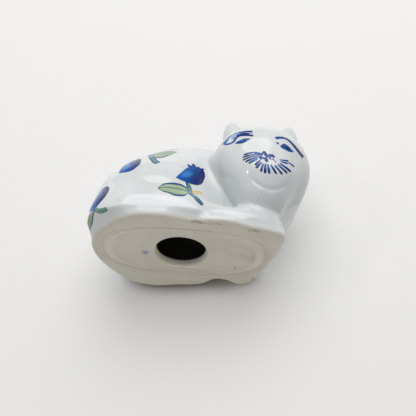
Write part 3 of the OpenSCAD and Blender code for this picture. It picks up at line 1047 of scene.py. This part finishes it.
def paintPiece(name, marks, material, along, across):
    paired = "washes" in marks
    splines = [edge for pair in marks["washes"] for edge in pair] if paired else marks["lines"]
    curve, aimWay = edgeCurve(name + "Path", splines, marks["view"])
    tree = washTree if paired else lineTree
    modifier = curve.modifiers.new("paint", "NODES")
    modifier.node_group = tree
    socket = {item.name: item.identifier for item in tree.interface.items_tree
              if item.item_type == "SOCKET" and item.in_out == "INPUT"}
    for key, value in (("Skin", wholeSkin), ("Aim", aimWay), ("Steps along", along), ("Steps across", across),
                       ("Lift", paintLook["lift"] * mm), ("Seed", paintLook["seed"]), ("Paint", material)):
        modifier[socket[key]] = value
    depsgraph = bpy.context.evaluated_depsgraph_get()
    mesh = bpy.data.meshes.new_from_object(curve.evaluated_get(depsgraph))
    mesh.name = name
    curve.modifiers.remove(modifier)
    bpy.data.objects.remove(curve)
    obj = addObject(name, mesh)
    if not mesh.materials:
        mesh.materials.append(material)
    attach(obj, "root")
    print(name, len(mesh.polygons), "faces")


def strokeGroup():
    # where a mark's own paint lies: its body, its edge, and the streaks of the brush
    tree, given, out = groupTree("brushStroke", [
        ("Streak", "NodeSocketFloat", 14.0), ("Soft edge", "NodeSocketFloat", 0.25),
        ("Fray", "NodeSocketFloat", 0.3),
    ], [("Cover", "NodeSocketFloat"), ("Edge", "NodeSocketFloat"), ("Streaks", "NodeSocketFloat"),
        ("Along", "NodeSocketFloat"), ("Across", "NodeSocketFloat"), ("Tone", "NodeSocketFloat")])
    along, across, tone = (pointMark(tree, key) for key in ("along", "across", "tone"))
    far = maths(tree, "ABSOLUTE", times(tree, minus(tree, across, 0.5), 2.0))
    spread = addNode(tree, "ShaderNodeCombineXYZ", {
        0: times(tree, along, 3.0),
        1: times(tree, across, given.outputs["Streak"]),
        2: times(tree, tone, 40.0),
    })
    streaks = noise(tree, spread.outputs[0], 1.0, 3.0, 0.6)
    frayed = plus(tree, far, times(tree, minus(tree, streaks, 0.5), given.outputs["Fray"]))
    start = minus(tree, 1.0, given.outputs["Soft edge"])
    sides = between(tree, frayed, start, 1.0, 1.0, 0.0, kind="LINEAR")
    ends = maths(tree, "MULTIPLY", times(tree, along, minus(tree, 1.0, along)), 40.0, clamp=True)
    for key, value in (("Cover", times(tree, sides, ends)), ("Edge", far), ("Streaks", streaks),
                       ("Along", along), ("Across", across), ("Tone", tone)):
        wire(tree, value, out.inputs[key])
    return tree


strokeCoat = strokeGroup()


def paintMaterial(name, build, streak, softEdge, fray):
    # build gives the colour and how well it covers
    material, tree, shader = newMaterial(name)
    stroke = addNode(tree, "ShaderNodeGroup", node_tree=strokeCoat)
    stroke.inputs["Streak"].default_value = streak
    stroke.inputs["Soft edge"].default_value = softEdge
    stroke.inputs["Fray"].default_value = fray
    colour, cover = build(tree, stroke.outputs)
    wire(tree, colour, shader.inputs["Base Color"])
    wire(tree, cover, shader.inputs["Alpha"])
    spot = objectSpot(tree)
    sheen = noise(tree, spot, paintLook["sheenScale"])
    wire(tree, between(tree, sheen, 0.3, 0.7, 0.07, 0.16), shader.inputs["Roughness"])
    shader.inputs["IOR"].default_value = paintLook["ior"]
    shader.inputs["Specular IOR Level"].default_value = paintLook["specular"]
    return material


def twoTone(tree, stroke, low, high, dark, pale):
    # from dark to pale with the brush's streaks
    return mixed(tree, between(tree, stroke["Streaks"], low, high), dark, pale)


def lineColour(tree, stroke):
    # the brush was pressed down, and the colour ran, towards each stroke's far end
    pale = plus(tree, stroke["Streaks"], times(tree, stroke["Tone"], 0.2))
    share = between(tree, minus(tree, pale, times(tree, stroke["Along"], 0.4)), 0.2, 0.62)
    colour = mixed(tree, share, paintLook["cobaltDark"], paintLook["cobalt"])
    lifted = between(tree, stroke["Streaks"], 0.62, 0.8, 0.0, 0.6)
    colour = mixed(tree, lifted, colour, paintLook["cobaltPale"])
    return colour, times(tree, stroke["Cover"], between(tree, stroke["Streaks"], 0.15, 0.4, 0.75, 1.0))


def stemColour(tree, stroke):
    return twoTone(tree, stroke, 0.4, 0.75, paintLook["leafBlue"], paintLook["cobalt"]), stroke["Cover"]


def stemGreen(tree, stroke):
    return twoTone(tree, stroke, 0.35, 0.65, paintLook["stemDark"], paintLook["stemPale"]), stroke["Cover"]


def ochreColour(tree, stroke):
    return twoTone(tree, stroke, 0.3, 0.8, paintLook["ochre"], paintLook["ochrePale"]), stroke["Cover"]


def berryColour(tree, stroke):
    # pale where the brush was lifted, deep where the colour ran
    deep = plus(tree, stroke["Along"], times(tree, stroke["Across"], 0.45))
    deep = plus(tree, deep, times(tree, minus(tree, stroke["Streaks"], 0.5), 0.5))
    colour = mixed(tree, between(tree, deep, 0.4, 1.05), paintLook["cobalt"], paintLook["cobaltDark"])
    paleAlong = times(tree, minus(tree, stroke["Along"], 0.34), 4.5)
    paleAcross = times(tree, minus(tree, stroke["Across"], 0.36), 3.6)
    far = plus(tree, times(tree, paleAlong, paleAlong), times(tree, paleAcross, paleAcross))
    colour = mixed(tree, between(tree, far, 0.0, 1.0, 0.55, 0.0), colour, paintLook["cobaltPale"])
    return colour, stroke["Cover"]


def leafColour(tree, stroke):
    # green within a blue rim, with a blue vein and a blue tip
    rim = between(tree, stroke["Edge"], 0.62, 0.80)
    offVein = maths(tree, "ABSOLUTE", minus(tree, stroke["Across"], 0.42))
    vein = between(tree, offVein, 0.02, 0.06, 0.85, 0.0)
    tip = between(tree, stroke["Along"], 0.04, 0.16, 1.0, 0.0)
    blue = maths(tree, "MAXIMUM", maths(tree, "MAXIMUM", rim, vein), tip)
    green = twoTone(tree, stroke, 0.35, 0.7, paintLook["leafGreen"], paintLook["leafPale"])
    colour = mixed(tree, blue, green, paintLook["leafBlue"])
    return colour, times(tree, stroke["Cover"], between(tree, blue, 0.0, 1.0, 0.72, 0.95))


def lidColour(tree, stroke):
    thin = between(tree, stroke["Streaks"], 0.3, 0.6, 0.55, 0.2)
    colour = twoTone(tree, stroke, 0.35, 0.7, paintLook["cobalt"], paintLook["cobaltPale"])
    return colour, times(tree, stroke["Cover"], thin)


def eyeColour(tree, stroke):
    colour = twoTone(tree, stroke, 0.4, 0.65, paintLook["cobaltDark"], paintLook["cobalt"])
    lifted = between(tree, stroke["Streaks"], 0.52, 0.66, 0.0, 0.85)
    return mixed(tree, lifted, colour, paintLook["cobaltPale"]), stroke["Cover"]


# each paint's look, the streaks across a mark, how soft its sides are and how far they fray
paints = {name: paintMaterial(name, *look) for name, *look in (
    ("cobaltLine", lineColour, 5.0, 0.3, 0.35), ("cobaltBerry", berryColour, 6.0, 0.10, 0.08),
    ("greenLeaf", leafColour, 8.0, 0.10, 0.08), ("stemGreen", stemGreen, 5.0, 0.12, 0.1),
    ("blueGreenStem", stemColour, 4.0, 0.5, 0.2), ("ochreTouch", ochreColour, 4.0, 0.6, 0.4),
    ("paleLid", lidColour, 9.0, 0.3, 0.4), ("cobaltEye", eyeColour, 9.0, 0.25, 0.5),
)}
# each painted piece: its marks, its paint, and how many points a mark has along and across
for name, marks, paint, along, across in (
    ("berryWash", berries, "cobaltBerry", 40, 21), ("leafWash", leaves, "greenLeaf", 40, 21),
    ("rumpBerry", rumpBerry, "cobaltBerry", 40, 21), ("rumpLeaves", rumpLeaves, "greenLeaf", 32, 13),
    ("stemWash", stemWash, "stemGreen", 32, 9), ("rumpStem", rumpStem, "stemGreen", 32, 9),
    ("calyx", calyx, "cobaltLine", 16, 7), ("rumpDot", rumpDot, "cobaltLine", 12, 7),
    ("stemLines", stemLines, "blueGreenStem", 40, 7), ("yellowTouch", yellowTouch, "ochreTouch", 24, 7),
    ("lidWash", lidWash, "paleLid", 24, 9), ("eyeWash", faceWashes, "cobaltEye", 24, 11),
    ("lidAndNoseLines", faceLines, "cobaltLine", 36, 7), ("whiskerFan", whiskerFan, "cobaltLine", 24, 7),
):
    paintPiece(name, marks, paints[paint], along, across)


print("studio")
tableWay = np.array(restWay)            # straight up from the table
tableWay /= np.linalg.norm(tableWay)
studio = dict(
    eye=(8.5, -356.5, -223.2), lookAlong=(0.0, 0.819, 0.574), lean=4.0, lens=72.7,
    # the table's colour, its glow, and a darker colour painted as a contact shadow near the cat
    tableColour=(0.66, 0.656, 0.65, 1), tableGlow=0.205, contactShadowReach=0.012, tableSize=1500.0,
    contactShadowColour=(0.17, 0.15, 0.12, 1), skyColour=(1.0, 1.0, 1.0, 1), skyStrength=0.36,
    lightsAt=(5, 0, 30), lightsFrom=0.9,
    # each light's way from the cat, along the camera's right, its up and back towards it
    lights=dict(
        skyPanel=dict(way=(-0.04, 0.88, 0.45), size=1.0, power=6.8),
        leftWindow=dict(way=(-0.72, 0.42, 0.55), size=0.075, power=0.34),
        rightWindow=dict(way=(0.55, 0.42, 0.72), size=0.07, power=0.12),
    ),
)


def tableFloor():
    # the top of the table under the flank that the cat lies on; clear from below
    lowest = (points @ tableWay).min()
    up = Vector(tableWay)
    side = Vector((0, 0, 1)).cross(up).normalized()
    along = up.cross(side)
    half = studio["tableSize"] / 2
    centre = Vector(tableWay * (lowest - 0.05)) + along * 20
    pts = [centre + side * sx * half + along * sy * half for sx, sy in ((-1, -1), (1, -1), (1, 1), (-1, 1))]
    obj = meshPiece("tableTop", [tuple(p) for p in pts], [np.array([[0, 1, 2, 3]])], smooth=False)
    if obj.data.polygons[0].normal.dot(up) < 0:
        obj.data.flip_normals()
    material, tree, shader = newMaterial("paleTable")
    spot = objectSpot(tree)
    fleck = noise(tree, spot, 30.0, 3.0, 0.5)
    pale = studio["tableColour"]
    soft = tuple(c * 0.985 for c in pale[:3]) + (1,)
    # painted contact shadow: the table's colour darkens where the cat is near
    near = addNode(tree, "ShaderNodeAmbientOcclusion", {"Distance": studio["contactShadowReach"]})
    tint = mixed(tree, fleck, pale, soft)
    tint = mixed(tree, between(tree, near.outputs["AO"], 0.25, 0.95), studio["contactShadowColour"], tint)
    wire(tree, tint, shader.inputs["Base Color"])
    wire(tree, tint, shader.inputs["Emission Color"])
    shader.inputs["Emission Strength"].default_value = studio["tableGlow"] / pale[0]
    shader.inputs["Roughness"].default_value = 0.75
    shader.inputs["Specular IOR Level"].default_value = 0.2
    clear = addNode(tree, "ShaderNodeBsdfTransparent")
    back = addNode(tree, "ShaderNodeNewGeometry").outputs["Backfacing"]
    mix = addNode(tree, "ShaderNodeMixShader", {0: back, 1: shader.outputs[0], 2: clear.outputs[0]})
    wire(tree, mix.outputs[0], tree.nodes["Material Output"].inputs["Surface"])
    obj.data.materials.append(material)


def viewAxes():
    # the camera's right, its up and the way it looks
    ahead = Vector(studio["lookAlong"]).normalized()
    level = Vector((1, 0, 0))
    above = level.cross(ahead)
    lean = math.radians(studio["lean"])
    right = level * math.cos(lean) + above * math.sin(lean)
    up = above * math.cos(lean) - level * math.sin(lean)
    return right, up, ahead


def softLight(name, light):
    right, up, ahead = viewAxes()
    along, above, back = light["way"]
    way = (right * along + up * above - ahead * back).normalized()
    data = bpy.data.lights.new(name, "AREA")
    data.shape, data.size, data.energy = "DISK", light["size"], light["power"]
    obj = addObject(name, data)
    obj.location = way * studio["lightsFrom"] + Vector(place([studio["lightsAt"]])[0])
    obj.rotation_mode = "QUATERNION"
    obj.rotation_quaternion = way.to_track_quat("Z", "Y")


tableFloor()
for name, light in studio["lights"].items():
    softLight(name, light)

world = bpy.data.worlds.new("studioAir")
world.use_nodes = True
world.node_tree.nodes["Background"].inputs[0].default_value = studio["skyColour"]
world.node_tree.nodes["Background"].inputs[1].default_value = studio["skyStrength"]
bpy.context.scene.world = world
bpy.context.scene.view_settings.view_transform = "Standard"

cameraData = bpy.data.cameras.new("studioCamera")
cameraData.lens = studio["lens"]
cameraData.sensor_width = 36
camera = addObject("studioCamera", cameraData)
right, up, ahead = viewAxes()
turn = Matrix((right, up, -ahead)).transposed()
camera.matrix_world = Matrix.Translation(Vector(place([studio["eye"]])[0])) @ turn.to_4x4()
bpy.context.scene.camera = camera

bpy.data.objects.remove(wholeSkin)
bpy.context.view_layer.update()
